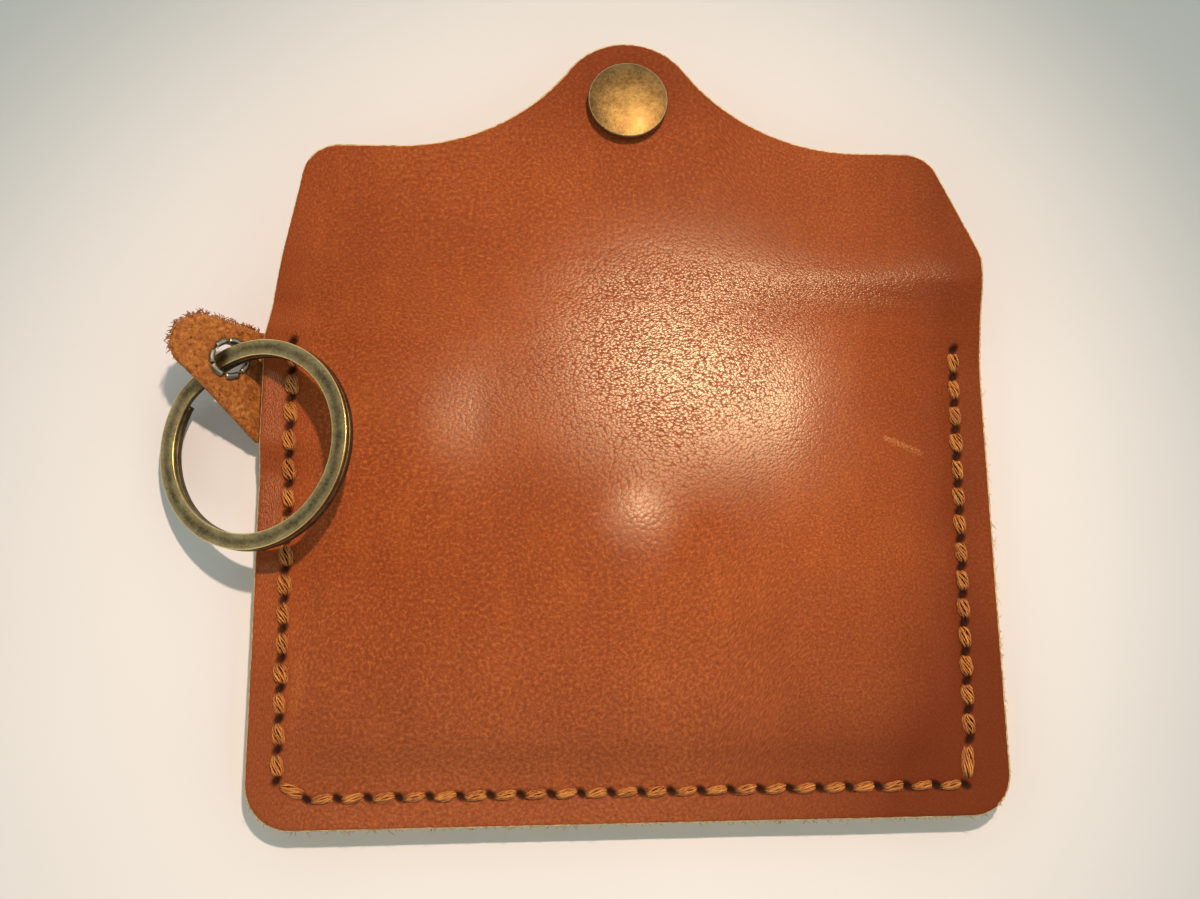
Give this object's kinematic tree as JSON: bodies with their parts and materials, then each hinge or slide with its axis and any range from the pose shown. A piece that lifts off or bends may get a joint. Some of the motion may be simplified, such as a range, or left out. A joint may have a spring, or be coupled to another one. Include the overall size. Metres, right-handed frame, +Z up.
{
  "type": "keychain card wallet",
  "caption": "Small leather card pocket with a folding snap flap and a side tab that carries a split key ring.",
  "frame": {"origin": "centre of the press stud's flat end, on the surface that the wallet lies on", "axes": "+X to the right across the wallet, +Y from the pocket towards the tip of the open flap, +Z up through the leather, out of the back face"},
  "size_m": [0.1218, 0.1169, 0.0137],
  "materials": {
    "tan_leather": "smooth grain side of vegetable-tanned leather, tan, softly polished by use",
    "tab_leather": "flesh side out, napped and matt",
    "waxed_thread": "waxed twisted thread, golden orange",
    "old_brass": "antique brass, dull olive patina rubbed bright on the edges",
    "dark_brass": "dark antique brass",
    "spring_steel": "bright spring wire"
  },
  "bodies": {
    "wallet": {"back_panel": "tan_leather", "front_panel": "tan_leather", "key_tab_root": "tab_leather", "sewing_thread": "waxed_thread", "snap_stud": "dark_brass", "stud_post": "dark_brass"},
    "flap": {"flap": "tan_leather", "snap_cap": "old_brass", "snap_socket": "dark_brass", "snap_spring": "spring_steel"},
    "key_tab": {"key_tab": "tab_leather", "eyelet": "dark_brass"},
    "split_ring": {"split_ring": "old_brass"}
  },
  "joints": [
    {"name": "flap_fold", "type": "hinge", "parent": "wallet", "child": "flap", "pos_m": [0, 0.0318, 0.0023], "axis": [-1, 0, 0], "range_deg": [0, 180]},
    {"name": "tab_flex", "type": "hinge", "parent": "wallet", "child": "key_tab", "pos_m": [-0.0545, 0.0196, 0.00255], "axis": [0, 1, 0], "range_deg": [-30, 0], "stiffness_Nm_per_rad": 0.02},
    {"name": "ring_swing", "type": "hinge", "parent": "key_tab", "child": "split_ring", "pos_m": [-0.05847, 0.02352, 0.00525], "axis": [-0.8627, -0.3665, -0.3485], "range_deg": [0, 150]}
  ]
}
